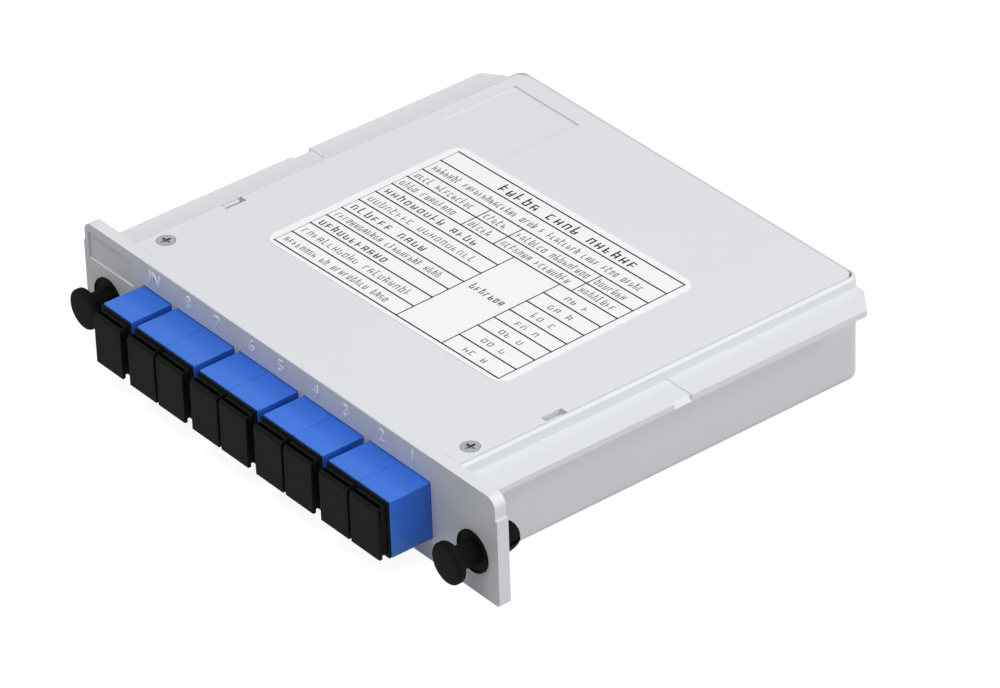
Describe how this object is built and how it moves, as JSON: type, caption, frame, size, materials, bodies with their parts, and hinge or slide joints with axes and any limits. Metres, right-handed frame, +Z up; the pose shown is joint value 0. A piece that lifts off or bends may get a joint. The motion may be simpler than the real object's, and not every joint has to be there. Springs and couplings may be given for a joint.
{
  "type": "plug-in fibre splitter cassette",
  "caption": "Slim box with a wide front panel, a row of capped fibre connector ports, push latches at both ends, side rails and a labelled lid over a fibre splitter module.",
  "frame": {"origin": "under the middle of the whole part, at the height of the case's underside", "axes": "+X along the front panel towards output one, +Y from the panel to the rear, +Z up to the lid"},
  "size_m": [0.13, 0.1138, 0.0242],
  "materials": {
    "case_plastic": "satin moulded ABS",
    "lid_plastic": "satin moulded ABS",
    "label_stock": "matt printed film",
    "screw_steel": "zinc plated",
    "latch_plastic": "satin black nylon",
    "adapter_plastic": "satin blue moulding",
    "cap_plastic": "satin black moulding",
    "holder_plastic": "white moulding",
    "ceramic": "ground zirconia",
    "connector_plastic": "satin blue moulding",
    "boot_rubber": "soft blue moulding",
    "module_steel": "drawn tube",
    "seal_rubber": "cured sealant",
    "fibre_jacket": "tight white jacket"
  },
  "bodies": {
    "cassette": {"base_shell": "case_plastic", "lid": "lid_plastic", "label": "label_stock", "lid_screws": "screw_steel", "latch_collars": "latch_plastic", "adapter_in": "adapter_plastic", "adapter_8": "adapter_plastic", "adapter_7": "adapter_plastic", "adapter_6": "adapter_plastic", "adapter_5": "adapter_plastic", "adapter_4": "adapter_plastic", "adapter_3": "adapter_plastic", "adapter_2": "adapter_plastic", "adapter_1": "adapter_plastic", "sleeve_holders": "holder_plastic", "alignment_sleeves": "ceramic", "connector_in": "connector_plastic", "connector_8": "connector_plastic", "connector_7": "connector_plastic", "connector_6": "connector_plastic", "connector_5": "connector_plastic", "connector_4": "connector_plastic", "connector_3": "connector_plastic", "connector_2": "connector_plastic", "connector_1": "connector_plastic", "ferrules": "ceramic", "connector_boots": "boot_rubber", "splitter_module": "module_steel", "module_seals": "seal_rubber", "fibre_in": "fibre_jacket", "fibre_8": "fibre_jacket", "fibre_7": "fibre_jacket", "fibre_6": "fibre_jacket", "fibre_5": "fibre_jacket", "fibre_4": "fibre_jacket", "fibre_3": "fibre_jacket", "fibre_2": "fibre_jacket", "fibre_1": "fibre_jacket"},
    "left_plunger": {"latch_plunger_left": "latch_plastic"},
    "right_plunger": {"latch_plunger_right": "latch_plastic"},
    "cap_in": {"dust_cap_in": "cap_plastic"},
    "cap_8": {"dust_cap_8": "cap_plastic"},
    "cap_7": {"dust_cap_7": "cap_plastic"},
    "cap_6": {"dust_cap_6": "cap_plastic"},
    "cap_5": {"dust_cap_5": "cap_plastic"},
    "cap_4": {"dust_cap_4": "cap_plastic"},
    "cap_3": {"dust_cap_3": "cap_plastic"},
    "cap_2": {"dust_cap_2": "cap_plastic"},
    "cap_1": {"dust_cap_1": "cap_plastic"}
  },
  "joints": [
    {"name": "left_latch_push", "type": "slide", "parent": "cassette", "child": "left_plunger", "axis": [0, 1, 0], "range_m": [0, 0.0034]},
    {"name": "right_latch_push", "type": "slide", "parent": "cassette", "child": "right_plunger", "axis": [0, 1, 0], "range_m": [0, 0.0034]},
    {"name": "cap_in_pull", "type": "slide", "parent": "cassette", "child": "cap_in", "axis": [0, -1, 0], "range_m": [0, 0.014]},
    {"name": "cap_8_pull", "type": "slide", "parent": "cassette", "child": "cap_8", "axis": [0, -1, 0], "range_m": [0, 0.014]},
    {"name": "cap_7_pull", "type": "slide", "parent": "cassette", "child": "cap_7", "axis": [0, -1, 0], "range_m": [0, 0.014]},
    {"name": "cap_6_pull", "type": "slide", "parent": "cassette", "child": "cap_6", "axis": [0, -1, 0], "range_m": [0, 0.014]},
    {"name": "cap_5_pull", "type": "slide", "parent": "cassette", "child": "cap_5", "axis": [0, -1, 0], "range_m": [0, 0.014]},
    {"name": "cap_4_pull", "type": "slide", "parent": "cassette", "child": "cap_4", "axis": [0, -1, 0], "range_m": [0, 0.014]},
    {"name": "cap_3_pull", "type": "slide", "parent": "cassette", "child": "cap_3", "axis": [0, -1, 0], "range_m": [0, 0.014]},
    {"name": "cap_2_pull", "type": "slide", "parent": "cassette", "child": "cap_2", "axis": [0, -1, 0], "range_m": [0, 0.014]},
    {"name": "cap_1_pull", "type": "slide", "parent": "cassette", "child": "cap_1", "axis": [0, -1, 0], "range_m": [0, 0.014]}
  ]
}
